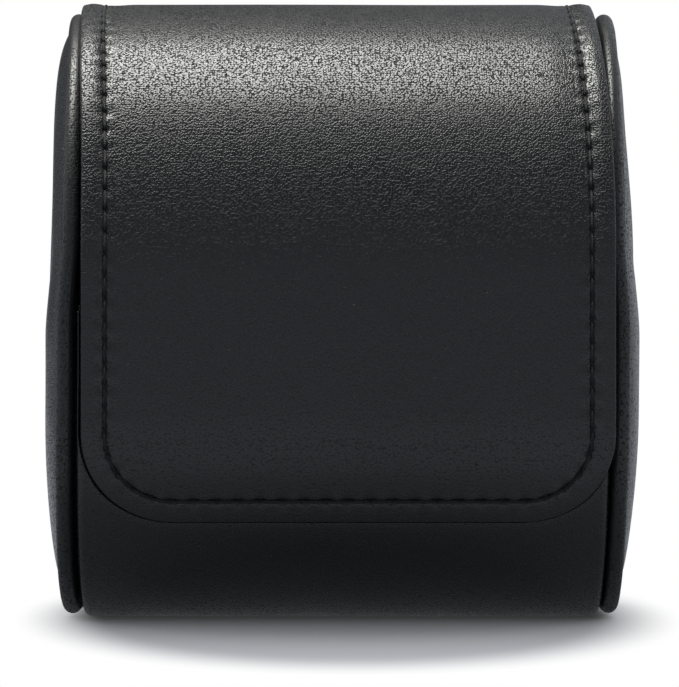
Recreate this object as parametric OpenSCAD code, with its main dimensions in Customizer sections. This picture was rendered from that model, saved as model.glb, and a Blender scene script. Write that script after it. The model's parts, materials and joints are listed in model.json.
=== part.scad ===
// Travel case for one watch: a rounded shell wrapped in black grained leather,
// two padded end panels edged with piping, a flap that opens from the back of
// the top and closes on the front with a hidden magnetic snap, and a loose
// cushion that the watch is strapped around.
// +X is right, -Y is the front, +Z is up. The case stands on z = 0.

/* [Shell] */
// Width of the wrapped shell between its two cut ends
shell_w = 82; // [76:0.5:96]
// Depth of the shell at the seam line that the piping follows
shell_d = 83; // [78:0.5:90]
// Height of the shell at the same seam line
shell_h = 93.4; // [90:0.2:104]
// Radius of the two lower corners at the seam line
corner_r = 30; // [25:0.5:34]
// Height of the front wall's top edge above the table
lip_h = 50; // [47:0.5:53]

/* [Layers] */
// Thickness of the leather
leather_t = 1; // [0.8:0.1:1.4]
// Thickness of the lining
lining_t = 0.6; // [0.4:0.1:1]
// Thickness of the stiff board in the shell wall
board_t = 2; // [1.8:0.1:3]
// How far the board's outer face lies inside the seam line
board_sink = 1.2; // [0.8:0.1:1.6]
// Thickness of the foam over the board on the back and the bottom
padding_t = 2.6; // [1.8:0.1:4]
// Thickness of the board in the flap
flap_board_t = 1.2; // [1:0.1:2]
// Thickness of the thin foam under the flap's leather
flap_padding_t = 0.3; // [0.2:0.1:1]

/* [End panels] */
// Thickness of the board in an end panel
end_board_t = 2; // [1.5:0.1:3]
// Thickness of the padded lining on an end panel
end_lining_t = 1.8; // [1:0.1:2.4]
// Clearance between an end panel's lining and the shell's lining
end_lining_fit = 0.2; // [0.1:0.05:0.5]
// How far the middle of an end panel stands out beyond its rim
dome_rise = 2.8; // [2:0.1:6]
// Width of the curved band between the rim and the flat middle
dome_band = 20; // [12:0.5:24]
// Height of the straight rim under the curved band
dome_rim = 0.6; // [0.4:0.1:1.2]

/* [Piping] */
// Diameter of the piping
piping_d = 2.4; // [2:0.1:3]
// Thickness of the leather round the piping cord
piping_wall = 0.5; // [0.4:0.05:0.6]
// Clearance between the cord and its leather
cord_fit = 0.05; // [0.03:0.01:0.1]
// Thickness of the seam allowance behind the piping
flange_t = 0.6; // [0.4:0.1:0.8]
// How far the seam allowance lies inside the piping's own edge
flange_tuck = 0.1; // [0.05:0.05:0.2]
// Distance from the seam allowance out to the piping
piping_stand = 0.4; // [0.2:0.1:0.8]
// Clearance between the piping and the rim of an end panel
rim_fit = 0.2; // [0.1:0.05:0.4]

/* [Flap] */
// How far the flap's side edges stand out past the shell's cut ends
flap_over = 0.35; // [0.1:0.05:0.5]
// Height of the flap's lower edge above the table
flap_low = 16; // [11:0.5:20]
// Radius of the flap's two lower corners
flap_corner_r = 13; // [10:0.5:15]
// Clearance between the closed flap and the front wall
flap_gap = 0.3; // [0.2:0.05:0.6]
// Clearance round the flap's lower edge in the shell's front
recess_gap = 0.5; // [0.3:0.1:1]
// Clearance between the flap's filling and its turned edge
turn_fit = 0.1; // [0.05:0.05:0.2]
// Angle of the hinge line behind the top, seen from the side
hinge_angle = 45; // [38:1:55]
// Clearance between the flap and the shell along the hinge line
hinge_gap = 0.3; // [0.2:0.05:0.5]
// Width of the soft band beside the hinge line that has no board
crease_w = 4.5; // [3:0.5:8]
// Length of the flap's tail that is sewn down on the back
tail_l = 14; // [10:0.5:18]

/* [Clasp] */
// Distance from the front wall's top edge down to the clasp's centre
clasp_drop = 8.7; // [8.5:0.1:10]
// Diameter of the clasp's socket and of the stud's plate
clasp_d = 14; // [11:0.5:15]
// Clearance round each clasp part where it is let in
clasp_fit = 0.1; // [0.05:0.05:0.15]
// Depth of the socket
socket_t = 2; // [1.6:0.1:2.1]
// Thickness of the socket's face
socket_face_t = 0.5; // [0.4:0.1:0.8]
// Thickness of the socket's side wall
socket_wall = 0.6; // [0.4:0.1:1]
// Diameter of the hole in the socket
socket_hole_d = 6.4; // [6:0.1:7.5]
// How much wider the hole in the magnet is than the socket's
magnet_hole_over = 0.6; // [0.2:0.1:1]
// Thickness of the washer behind the socket
socket_washer_t = 0.6; // [0.4:0.1:0.6]
// Diameter of the two washers
washer_d = 10; // [9:0.5:10.5]
// Diameter of the hole in each washer
washer_hole_d = 3; // [2:0.5:4]
// Thickness of the stud's plate
stud_plate_t = 0.8; // [0.6:0.1:0.9]
// Diameter of the stud
stud_d = 3.4; // [2.8:0.1:3.6]
// Height of the stud above its plate
stud_h = 0.8; // [0.5:0.1:0.9]
// Thickness of the washer behind the stud's plate
stud_washer_t = 0.5; // [0.4:0.1:0.6]

/* [Stitching] */
// Distance from an edge to the stitch line
stitch_inset = 3.8; // [3:0.1:5]
// Distance from one stitch to the next
stitch_pitch = 3.4; // [3:0.1:4.5]
// Length of one stitch on the surface
stitch_l = 2.4; // [1.8:0.1:2.6]
// Diameter of the thread
thread_d = 0.55; // [0.4:0.05:0.8]

/* [Cushion] */
// Width of the cushion, end to end
cushion_w = 72; // [60:0.5:75]
// Depth of the cushion at its middle
cushion_d = 52; // [44:0.5:58]
// Height of the cushion at its middle
cushion_h = 64; // [58:0.5:66]
// How far the sleeve is drawn in at its end seams
cushion_crown = 2; // [0.5:0.1:4]
// How far each end cap bulges out past its seam
cap_bulge = 3; // [1.5:0.1:5]
// Thickness of the cushion's cover
cover_t = 1; // [0.8:0.1:2]
// Clearance between the cover and the foam in it
cover_fit = 0.1; // [0.05:0.05:0.2]
// Clearance between the cushion and the shell's floor
cushion_gap = 0.3; // [0.2:0.05:1]

/* [Hidden] */

// Each layer is an outline that runs parallel to the seam line. Its offset is
// how far it lies outside that line.
board_out = -board_sink;
board_in = board_out - board_t;
lining_in = board_in - lining_t;
padding_out = board_out + padding_t;
skin_out = padding_out + leather_t;
front_skin_out = board_out + leather_t;
flap_in = front_skin_out + flap_gap;
flap_board_in = flap_in + lining_t;
flap_board_out = flap_board_in + flap_board_t;
flap_skin_in = flap_board_out + flap_padding_t;
flap_out = flap_skin_in + leather_t;

// Centres of the top arc and of the lower corner arcs of every outline
top_r = shell_d / 2;
corner_z = skin_out + corner_r;
corner_y = top_r - corner_r;
top_z = skin_out + shell_h - top_r;

// Stations along X, outward from the middle
wrap_x = shell_w / 2;
flange_x = wrap_x + flange_t;
piping_x = flange_x + piping_stand + piping_d / 2;
end_x = flange_x + end_board_t;
rim_out = -piping_d / 2 - rim_fit;
dome_in = rim_out - dome_band;
dome_r = (dome_band * dome_band + dome_rise * dome_rise) / (2 * dome_rise);
dome_x = end_x + dome_rim + dome_rise - dome_r;
cord_r = piping_d / 2 - piping_wall - cord_fit;

// The flap seen from the front
flap_half_w = wrap_x + flap_over;

// The hinge line lies on the flap's outer face
hinge_out = [sin(hinge_angle), cos(hinge_angle)];
hinge_to_flap = [-cos(hinge_angle), sin(hinge_angle)];
top_centre = [0, top_z];
hinge_point = top_centre + (top_r + flap_out) * hinge_out;
tail_angle = hinge_angle + tail_l / (top_r + skin_out) * 180 / PI;

clasp_z = lip_h - clasp_drop;
magnet_t = socket_t - socket_face_t;
magnet_d = clasp_d - 2 * socket_wall - 2 * clasp_fit;

// The stitch line of the flap
seam_half_w = flap_half_w - stitch_inset;
seam_corner_r = flap_corner_r - stitch_inset;
seam_run = flap_half_w - flap_corner_r;
seam_corner_z = flap_low + flap_corner_r;
seam_arc = 90 + hinge_angle - stitch_pitch / 2 / (top_r + flap_out) * 180 / PI;

// The cushion's section is a tall round: two half circles and short sides
cushion_r = cushion_d / 2;
cushion_side = (cushion_h - cushion_d) / 2;
cushion_z = skin_out - lining_in + cushion_gap + cushion_h / 2;
seam_x = cushion_w / 2 - cap_bulge;
section_n = 16;
sleeve_steps = 10;
core_steps = 4;
cap_steps = 4;

reach = 2 * (shell_w + shell_h);
cut = 1;
$fn = 64;

leather_black = [0.13, 0.13, 0.14];
leather_edge = [0.17, 0.17, 0.18];
lining_grey = [0.27, 0.27, 0.29];
board_brown = [0.62, 0.53, 0.42];
foam_grey = [0.75, 0.75, 0.72];
thread_black = [0.07, 0.07, 0.08];
cord_white = [0.85, 0.84, 0.8];
metal_dark = [0.42, 0.42, 0.44];
magnet_grey = [0.3, 0.3, 0.32];

// ---- Outlines in the side view, drawn as (Y, Z) ----

// The shell's side outline, moved outward by o
module outline(o) {
  translate(top_centre)
    circle(r = top_r + o);
  translate([-top_r - o, corner_z])
    square([2 * (top_r + o), top_z - corner_z]);
  for (side = [-1, 1])
    translate([side * corner_y, corner_z])
      circle(r = corner_r + o);
  translate([-corner_y, corner_z - corner_r - o])
    square([2 * corner_y, corner_r + o]);
}

// The band between two outlines
module band(o_in, o_out) {
  difference() {
    outline(o_out);
    outline(o_in);
  }
}

// The part of the side view that belongs to the shell, cut short by back_off
// at the hinge line and at the front wall's top edge
module shell_part(back_off) {
  start = top_centre - (hinge_gap / 2 + back_off) * hinge_to_flap;
  polygon([[0, lip_h - back_off], start, start + reach * hinge_out,
    [reach * 2, reach], [reach * 2, -reach], [-reach, -reach],
    [-reach, lip_h - back_off]]);
}

// The part of the side view that belongs to the flap
module flap_part(back_off) {
  start = top_centre + (hinge_gap / 2 + back_off) * hinge_to_flap;
  polygon([start, start + reach * hinge_out, [-reach * 2, reach * 2],
    [-reach * 2, -reach], [0, -reach]]);
}

// Draws a side view shape as a solid of width w about the middle plane
module across(w) {
  rotate([90, 0, 90])
    linear_extrude(w, center = true)
      children();
}

// Draws a side view shape as a solid from x = from outward, t thick
module beside(from, t) {
  rotate([90, 0, 90])
    translate([0, 0, from])
      linear_extrude(t)
        children();
}

// Carries a profile round the whole outline. The profile is drawn with its
// first axis as the offset and its second axis as the station along X.
module round_outline() {
  rotate([90, 0, 90]) {
    translate([0, top_z, 0])
      rotate_extrude(angle = 180)
        translate([top_r, 0])
          children();
    for (side = [0, 1])
      mirror([side, 0, 0]) {
        translate([0, top_z, 0])
          rotate([90, 0, 0])
            linear_extrude(top_z - corner_z)
              translate([top_r, 0])
                children();
        translate([corner_y, corner_z, 0])
          rotate([0, 0, -90])
            rotate_extrude(angle = 90)
              translate([corner_r, 0])
                children();
      }
    translate([corner_y, corner_z, 0])
      rotate([0, 0, -90])
        rotate([90, 0, 0])
          linear_extrude(2 * corner_y)
            translate([corner_r, 0])
              children();
  }
}

// ---- The flap's outline in the front view, drawn as (X, Z) ----

// The flap's front outline, drawn in by inset on its three free edges
module flap_front(inset) {
  half_w = flap_half_w - inset;
  r = flap_corner_r - inset;
  for (side = [-1, 1])
    translate([side * seam_run, seam_corner_z])
      circle(r = r);
  translate([-seam_run, flap_low + inset])
    square([2 * seam_run, r]);
  translate([-half_w, seam_corner_z])
    square([2 * half_w, reach]);
}

// Keeps only what lies behind the flap's front outline
module behind_flap_front(inset) {
  rotate([90, 0, 0])
    linear_extrude(2 * reach, center = true)
      flap_front(inset);
}

// One layer of the flap between two offsets
module flap_layer(o_in, o_out, inset, back_off) {
  intersection() {
    across(shell_w * 2)
      intersection() {
        band(o_in, o_out);
        flap_part(back_off);
      }
    behind_flap_front(inset);
  }
}

// The space that the closed flap takes out of the shell's front, down to the
// outline at offset o and widened all round by gap
module flap_recess(o, gap) {
  difference() {
    intersection() {
      behind_flap_front(-gap);
      translate([-reach, -reach, 0])
        cube([2 * reach, reach, reach]);
    }
    across(shell_w * 2)
      outline(o);
  }
}

// ---- Clasp pieces: discs whose axis runs along Y ----

// A disc whose outer face lies at offset o, t thick, inward
module disc(o, t, d) {
  translate([0, -top_r - o, clasp_z])
    rotate([-90, 0, 0])
      cylinder(h = t, d = d);
}

// ---- Shell ----

module shell_ring(o_in, o_out) {
  across(shell_w)
    intersection() {
      band(o_in, o_out);
      shell_part(leather_t);
    }
}

module body_board() {
  color(board_brown)
    difference() {
      shell_ring(board_in, board_out);
      disc(front_skin_out, socket_t, clasp_d + 2 * clasp_fit);
      disc(front_skin_out, socket_t + socket_washer_t + clasp_fit,
        washer_d + 2 * clasp_fit);
    }
}

module body_lining() {
  color(lining_grey)
    shell_ring(lining_in, board_in);
}

// Everything that the foam may fill: under the skin, but not under the flap
module padding_space() {
  difference() {
    across(shell_w - 2 * leather_t)
      intersection() {
        outline(padding_out);
        shell_part(leather_t);
      }
    flap_recess(board_out, recess_gap + leather_t);
  }
}

module body_padding() {
  color(foam_grey)
    difference() {
      padding_space();
      across(shell_w * 2)
        outline(board_out);
    }
}

// The skin lies over the foam and the front board, and closes both ends, the
// front wall's top edge and the edge along the hinge line
module body_leather() {
  color(leather_black)
    difference() {
      across(shell_w)
        intersection() {
          band(lining_in, skin_out);
          shell_part(0);
        }
      flap_recess(front_skin_out, recess_gap);
      padding_space();
      across(shell_w * 2)
        intersection() {
          outline(board_out);
          shell_part(leather_t);
        }
      disc(front_skin_out + cut, socket_t + cut, clasp_d + 2 * clasp_fit);
    }
}

// ---- End panels, drawn on the right and mirrored to the left ----

module end_board() {
  color(board_brown)
    beside(flange_x, end_board_t)
      outline(rim_out);
}

module end_lining() {
  color(lining_grey)
    beside(flange_x - end_lining_t, end_lining_t)
      outline(lining_in - end_lining_fit);
}

// Profile of the domed band between offset dome_in and o, t under its skin
module dome_profile(o, t) {
  intersection() {
    translate([dome_in, dome_x])
      circle(r = dome_r - t, $fn = 128);
    translate([dome_in, end_x])
      square([o - dome_in, dome_rim + dome_rise]);
  }
}

module end_padding() {
  color(foam_grey) {
    round_outline()
      dome_profile(rim_out - leather_t, leather_t);
    beside(end_x, dome_rim + dome_rise - leather_t)
      outline(dome_in);
  }
}

module end_leather() {
  color(leather_black) {
    round_outline()
      difference() {
        dome_profile(rim_out, 0);
        dome_profile(rim_out - leather_t, leather_t);
      }
    beside(end_x + dome_rim + dome_rise - leather_t, leather_t)
      outline(dome_in);
  }
}

// Piping: leather round a cord, with its seam allowance turned in behind it
module piping() {
  inner = -piping_d / 2 + flange_tuck;
  color(leather_edge)
    round_outline()
      difference() {
        union() {
          translate([0, piping_x])
            circle(d = piping_d, $fn = 48);
          translate([inner, wrap_x])
            square([flange_t, piping_x - wrap_x - flange_tuck]);
          translate([lining_in, wrap_x])
            square([inner - lining_in, flange_t]);
        }
        translate([0, piping_x])
          circle(r = cord_r + cord_fit, $fn = 48);
      }
}

module piping_cord() {
  color(cord_white)
    round_outline()
      translate([0, piping_x])
        circle(r = cord_r, $fn = 48);
}

// ---- Stitches ----

// One stitch from point a to point b
module stitch(a, b) {
  run = b - a;
  translate(a)
    rotate([0, acos(run[2] / norm(run)), atan2(run[1], run[0])])
      cylinder(h = norm(run), d = thread_d, $fn = 16);
}

// How far forward the front of the outline at offset o lies at height z
function front_y(z, o) = z > corner_z
  ? -top_r - o
  : -corner_y - sqrt(pow(corner_r + o, 2) - pow(corner_z - z, 2));

function on_front(x, z) = [x, front_y(z, flap_out), z];

function on_top(x, a, o) = [x, -(top_r + o) * cos(a), top_z + (top_r + o) * sin(a)];

function on_seam_corner(side, a) = on_front(
  side * (seam_run + seam_corner_r * cos(a)),
  seam_corner_z + seam_corner_r * sin(a));

// Number of stitches that fill a length
function stitches(l) = round(l / stitch_pitch);

module flap_stitching() {
  bottom_n = stitches(2 * seam_run);
  bottom_step = 2 * seam_run / bottom_n;
  corner_l = seam_corner_r * PI / 2;
  corner_n = stitches(corner_l);
  side_l = top_z - seam_corner_z;
  side_n = stitches(side_l);
  arc_l = (top_r + flap_out) * seam_arc * PI / 180;
  arc_n = stitches(arc_l);
  half = stitch_l / 2;
  color(thread_black) {
    for (i = [0.5 : 1 : bottom_n]) {
      x = -seam_run + i * bottom_step;
      stitch(on_front(x - half, flap_low + stitch_inset),
        on_front(x + half, flap_low + stitch_inset));
    }
    for (side = [-1, 1]) {
      for (i = [0.5 : 1 : corner_n]) {
        a = -90 + i * 90 / corner_n;
        swing = half / seam_corner_r * 180 / PI;
        stitch(on_seam_corner(side, a - swing), on_seam_corner(side, a + swing));
      }
      for (i = [0.5 : 1 : side_n]) {
        z = seam_corner_z + i * side_l / side_n;
        stitch(on_front(side * seam_half_w, z - half),
          on_front(side * seam_half_w, z + half));
      }
      for (i = [0.5 : 1 : arc_n]) {
        a = i * seam_arc / arc_n;
        swing = half / (top_r + flap_out) * 180 / PI;
        stitch(on_top(side * seam_half_w, a - swing, flap_out),
          on_top(side * seam_half_w, a + swing, flap_out));
      }
    }
  }
}

// ---- The flap's tail on the back ----

module hinge_tail() {
  start = top_centre - hinge_gap / 2 * hinge_to_flap;
  tail_out = [sin(tail_angle), cos(tail_angle)];
  color(leather_edge)
    across(shell_w)
      intersection() {
        band(skin_out, flap_out);
        polygon([start, start + reach * hinge_out, start + reach * tail_out]);
      }
}

module hinge_stitching() {
  row_l = shell_w - 2 * stitch_inset;
  n = stitches(row_l);
  a = 90 + tail_angle - stitch_inset / (top_r + flap_out) * 180 / PI;
  color(thread_black)
    for (i = [0.5 : 1 : n]) {
      x = -row_l / 2 + i * row_l / n;
      stitch(on_top(x - stitch_l / 2, a, flap_out), on_top(x + stitch_l / 2, a, flap_out));
    }
}

// ---- Clasp in the front wall ----

module clasp_socket() {
  color(metal_dark)
    difference() {
      disc(front_skin_out, socket_t, clasp_d);
      disc(front_skin_out - socket_face_t, socket_t, clasp_d - 2 * socket_wall);
      disc(front_skin_out + cut, socket_t, socket_hole_d);
    }
}

module clasp_magnet() {
  color(magnet_grey)
    difference() {
      disc(front_skin_out - socket_face_t, magnet_t, magnet_d);
      disc(front_skin_out, socket_t + cut, socket_hole_d + magnet_hole_over);
    }
}

module clasp_socket_washer() {
  color(metal_dark)
    difference() {
      disc(front_skin_out - socket_t, socket_washer_t, washer_d);
      disc(front_skin_out, socket_t + socket_washer_t + cut, washer_hole_d);
    }
}

// ---- Flap ----

// The flap's leather, turned in round its three free edges
module flap_leather() {
  color(leather_black)
    difference() {
      flap_layer(flap_in, flap_out, 0, 0);
      flap_layer(flap_in - cut, flap_skin_in, leather_t, -cut);
    }
}

module flap_filling(o_in, o_out, back_off) {
  flap_layer(o_in, o_out, leather_t + turn_fit, back_off);
}

module flap_lining() {
  color(lining_grey)
    difference() {
      flap_filling(flap_in, flap_board_in, 0);
      disc(flap_in + stud_plate_t, stud_plate_t + cut, clasp_d + 2 * clasp_fit);
    }
}

module flap_board() {
  color(board_brown)
    difference() {
      flap_filling(flap_board_in, flap_board_out, crease_w);
      disc(flap_in + stud_plate_t, stud_plate_t + cut, clasp_d + 2 * clasp_fit);
      disc(flap_in + stud_plate_t + stud_washer_t + clasp_fit,
        stud_plate_t + stud_washer_t + cut, washer_d + 2 * clasp_fit);
    }
}

// Thin foam over the board, and down to the lining beside the hinge line
module flap_padding() {
  color(foam_grey)
    difference() {
      flap_filling(flap_board_in, flap_skin_in, 0);
      flap_layer(flap_board_in - cut, flap_board_out, 0, crease_w);
    }
}

module clasp_stud() {
  color(metal_dark) {
    disc(flap_in + stud_plate_t, stud_plate_t, clasp_d);
    disc(flap_in + cut / 2, stud_h + cut / 2, stud_d);
  }
}

module clasp_stud_washer() {
  color(metal_dark)
    difference() {
      disc(flap_in + stud_plate_t + stud_washer_t, stud_washer_t, washer_d);
      disc(flap_out, flap_out, washer_hole_d);
    }
}

// ---- Cushion ----

// How far the sleeve is drawn in at station x: a barrel curve, with a tighter
// tuck in the last stretch before the seam
function drawn_in(x) = cushion_crown * (0.7 * pow(x / seam_x, 2) + 0.3 * pow(x / seam_x, 12));

// The section at station x, drawn in by d: section_n points on each half circle
function ring(x, d) = [for (half = [0, 1], i = [0 : section_n - 1])
  let(a = half * 180 + i * 180 / (section_n - 1), r = cushion_r - d)
  [x, r * cos(a), cushion_z + r * sin(a) + (half == 0 ? 1 : -1) * cushion_side]];

// The section scaled by k about its middle at station x, from the seam's ring
function cap_ring(x, k) = [for (p = ring(0, cushion_crown))
  [x, k * p[1], cushion_z + k * (p[2] - cushion_z)]];

// Triangles between ring i and ring j of n points each
function skirt(i, j, n) = [for (k = [0 : n - 1], t = [0, 1])
  let(m = (k + 1) % n)
  t == 0 ? [i * n + k, j * n + m, i * n + m] : [i * n + k, j * n + k, j * n + m]];

// Triangles from the ring that starts at point s to the single point c
function fan(s, c, n, flip) = [for (k = [0 : n - 1])
  let(m = (k + 1) % n) flip ? [s + k, s + m, c] : [s + k, c, s + m]];

function joined(lists) = [for (l = lists, item = l) item];

// A closed tube from rings that run out along the outside and back inside
module ring_tube(rings) {
  n = len(rings[0]);
  m = len(rings);
  polyhedron(points = joined(rings),
    faces = joined([for (i = [0 : m - 1]) skirt(i, (i + 1) % m, n)]));
}

// A closed solid from rings, with a point in the middle of each end
module ring_solid(rings, first_x, last_x) {
  n = len(rings[0]);
  m = len(rings);
  polyhedron(
    points = concat(joined(rings), [[first_x, 0, cushion_z], [last_x, 0, cushion_z]]),
    faces = concat(joined([for (i = [0 : m - 2]) skirt(i, i + 1, n)]),
      fan(0, m * n, n, true), fan((m - 1) * n, m * n + 1, n, false)));
}

// Stations of a run of steps between the two seams
function stations(steps) = [for (i = [0 : steps]) seam_x * (2 * i / steps - 1)];

module cushion_core() {
  color(foam_grey)
    ring_solid([for (x = stations(core_steps)) ring(x, drawn_in(x) + cover_t + cover_fit)],
      -seam_x, seam_x);
}

module cushion_cover() {
  color(lining_grey)
    ring_tube(concat(
      [for (x = stations(sleeve_steps)) ring(x, drawn_in(x))],
      [for (x = stations(core_steps)) ring(-x, drawn_in(x) + cover_t)]));
}

// An end cap: flat where it meets the sleeve, and crowned outward
module cushion_cap() {
  color(lining_grey)
    ring_solid([for (i = [0 : cap_steps])
      let(k = cos(i * 90 / (cap_steps + 1)))
      cap_ring(seam_x + cap_bulge * sin(i * 90 / (cap_steps + 1)), k)],
      seam_x, seam_x + cap_bulge);
}

module left() {
  mirror([1, 0, 0])
    children();
}

body_board();
body_padding();
body_leather();
body_lining();
left() end_board();  // left_end_board
end_board();  // right_end_board
left() end_padding();  // left_end_padding
end_padding();  // right_end_padding
left() end_leather();  // left_end_leather
end_leather();  // right_end_leather
left() end_lining();  // left_end_lining
end_lining();  // right_end_lining
left() piping();  // left_piping
piping();  // right_piping
left() piping_cord();  // left_piping_cord
piping_cord();  // right_piping_cord
hinge_tail();
hinge_stitching();
clasp_socket();
clasp_magnet();
clasp_socket_washer();
flap_leather();
flap_padding();
flap_board();
flap_lining();
flap_stitching();
clasp_stud();
clasp_stud_washer();
cushion_core();
cushion_cover();
left() cushion_cap();  // cushion_left_cap
cushion_cap();  // cushion_right_cap
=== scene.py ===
# %% [markdown]
# # A watch travel case in black grained leather
# The case is a soft barrel: a stiff wrap of leather-covered board, two padded
# end panels edged with piping, and a flap that runs from the back of the top
# down over the front. Inside lies a cushion that the watch is strapped round.
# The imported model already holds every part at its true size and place. This
# notebook gives each part its sewn shape and its finish, and sets up the photo.

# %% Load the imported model
import json

import bmesh
import bpy
import numpy as np
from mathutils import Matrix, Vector


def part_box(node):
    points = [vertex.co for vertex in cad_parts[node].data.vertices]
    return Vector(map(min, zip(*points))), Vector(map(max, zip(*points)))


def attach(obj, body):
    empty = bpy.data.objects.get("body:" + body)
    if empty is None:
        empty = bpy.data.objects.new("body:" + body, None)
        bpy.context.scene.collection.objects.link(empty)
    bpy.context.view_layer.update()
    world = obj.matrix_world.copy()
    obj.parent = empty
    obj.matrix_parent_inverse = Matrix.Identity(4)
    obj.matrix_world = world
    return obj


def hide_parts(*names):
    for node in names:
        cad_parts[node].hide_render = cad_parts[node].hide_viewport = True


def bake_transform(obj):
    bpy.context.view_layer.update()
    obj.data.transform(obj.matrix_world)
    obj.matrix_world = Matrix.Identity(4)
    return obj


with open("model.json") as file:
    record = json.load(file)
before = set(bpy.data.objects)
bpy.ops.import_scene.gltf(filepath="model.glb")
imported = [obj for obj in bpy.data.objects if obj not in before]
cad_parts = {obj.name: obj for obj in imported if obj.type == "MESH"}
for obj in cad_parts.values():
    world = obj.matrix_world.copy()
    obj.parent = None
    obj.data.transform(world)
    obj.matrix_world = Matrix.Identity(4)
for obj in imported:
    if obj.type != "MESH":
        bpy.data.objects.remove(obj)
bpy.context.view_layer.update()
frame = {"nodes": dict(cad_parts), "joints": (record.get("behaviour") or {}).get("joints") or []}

nodes = frame["nodes"]

# %% [markdown]
# ## Sizes that everything follows
# All pieces hang on one line: the seam line, which the piping follows round
# each end. It could be typed in again, but the piping's cord lies exactly on
# it, so its box gives the line's depth and height. Lengths are in metres, and
# `mm` keeps small values readable.

# %% The seam line and the layers
mm = 0.001


def box_of(name):
    """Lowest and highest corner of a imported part, as two arrays."""
    low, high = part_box(name)
    return np.array(low), np.array(high)


cord_low, cord_high = box_of("right_piping_cord")
cord_r = (cord_high[0] - cord_low[0]) / 2
piping_x = (cord_high[0] + cord_low[0]) / 2
piping_r = box_of("right_piping")[1][0] - piping_x
top_r = cord_high[1] - cord_r
skin_out = cord_low[2] + cord_r
corner_r = 30 * mm
corner_z = skin_out + corner_r
corner_y = top_r - corner_r
top_z = cord_high[2] - cord_r - top_r

wrap_x = box_of("body_board")[1][0]
lip_z = box_of("body_leather")[0][2] + 50 * mm
lining_in = box_of("right_end_lining")[1][1] - top_r + 0.2 * mm
front_skin_out = -0.2 * mm

flap_low_corner, flap_high_corner = box_of("flap_leather")
flap_half_w = flap_high_corner[0]
flap_low_z = flap_low_corner[2]
flap_out = -flap_low_corner[1] - top_r
flap_in = 0.1 * mm

snap_low, snap_high = box_of("clasp_socket")
snap_z = (snap_low[2] + snap_high[2]) / 2

hinge = next(j for j in frame["joints"] if j["name"] == "flap_hinge")
hinge_y, hinge_z = hinge["pos_m"][1:]
hinge_turn = np.arctan2(hinge_y, hinge_z - top_z)
print("seam line: radius", round(top_r / mm, 2), "skin", round(skin_out / mm, 2),
      "lining", round(lining_in / mm, 2), "flap", round(flap_out / mm, 2))

# %% [markdown]
# ## Walking round the outline
# Seen from the side the case is a half circle over two rounded corners. Every
# layer runs parallel to the seam line at its own offset, so one function that
# turns a distance along the outline into a point is all the geometry needed.
# The distance starts at the top and runs down the front, under the bottom and
# up the back.

# %% The outline as a path
def outline(offset):
    """Seven stretches at an offset from the seam line: arc, straight, arc, straight,
    arc, straight, arc. Each row is (start, turn at start, turn per length,
    centre y, centre z, radius), with the whole length after them."""
    r_top, r_low = top_r + offset, corner_r + offset
    quarter, side, bottom = np.pi / 2, top_z - corner_z, 2 * corner_y
    stretches = np.array([(quarter * r_top, 1 / r_top, 0, top_z, r_top),
                          (side, 0, 0, top_z, r_top),
                          (quarter * r_low, 1 / r_low, -corner_y, corner_z, r_low),
                          (bottom, 0, -corner_y, corner_z, r_low),
                          (quarter * r_low, 1 / r_low, corner_y, corner_z, r_low),
                          (side, 0, corner_y, corner_z, r_low),
                          (quarter * r_top, 1 / r_top, 0, top_z, r_top)])
    lengths, rates = stretches[:, 0], stretches[:, 1]
    starts = np.concatenate([[0], np.cumsum(lengths)])
    turns = np.concatenate([[0], np.cumsum(lengths * rates)])[:-1]
    return np.column_stack([starts[:-1], turns, stretches[:, 1:]]), starts[-1]


def along(path, s, lift=0.0):
    """The point (y, z) at distance s along a path, moved outward by lift, and
    the turn there. The outward direction is (-sin turn, cos turn)."""
    rows, length = path
    s = np.mod(s, length)
    row = rows[np.searchsorted(rows[:, 0], s, side="right") - 1]
    start, turn, rate, cy, cz, r = np.moveaxis(row, -1, 0)
    turn = turn + rate * (s - start)
    slide = np.where(rate == 0, s - start, 0)
    y = cy - (r + lift) * np.sin(turn) - slide * np.cos(turn)
    z = cz + (r + lift) * np.cos(turn) - slide * np.sin(turn)
    return y, z, turn


def front_distance(path, z):
    """How far along a path the front surface comes down to height z."""
    rows = path[0]
    below = np.maximum(corner_z - z, 0)
    down = np.minimum(top_z - z, top_z - corner_z)
    return rows[1, 0] + down + rows[2, 5] * np.arcsin(below / rows[2, 5])


flap_path = outline(flap_out)
flap_end = front_distance(flap_path, flap_low_z)
hinge_s = -(top_r + flap_out) * hinge_turn
tail_s = hinge_s - 14 * mm * (top_r + flap_out) / (top_r + skin_out)
print("flap skin, from tail to lower edge, in mm:", round((flap_end - tail_s) / mm, 1))

# %% [markdown]
# ## Small tools for making surfaces
# Every new piece is a grid of points: one direction runs along a path, the
# other across a profile. The helpers below turn such a grid into a mesh, give
# soft steps and gentle unevenness, and report what was made.

# %% Steps, waves and spacing
def smooth(x, low, high):
    """0 below low, 1 above high, and a soft S between: 3 t^2 - 2 t^3."""
    t = np.clip((x - low) / (high - low), 0, 1)
    return t * t * (3 - 2 * t)


def bump(x, centre, width):
    """A bell curve of height 1: exp(-((x - centre) / width)^2)."""
    return np.exp(-((x - centre) / width) ** 2)


def waves(a, b, size, seed):
    """Gentle unevenness of about -1 to 1: six sine waves of wavelengths near
    size, in directions and phases drawn from a seeded generator."""
    draw = np.random.default_rng(seed)
    total = np.zeros(np.broadcast(a, b).shape)
    for heading, phase, stretch in zip(draw.uniform(0, np.pi, 6),
                                       draw.uniform(0, 2 * np.pi, 6),
                                       draw.uniform(0.7, 1.6, 6)):
        k = 2 * np.pi / (size * stretch)
        total += np.sin(k * (np.cos(heading) * a + np.sin(heading) * b) + phase)
    return total / 6


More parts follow.
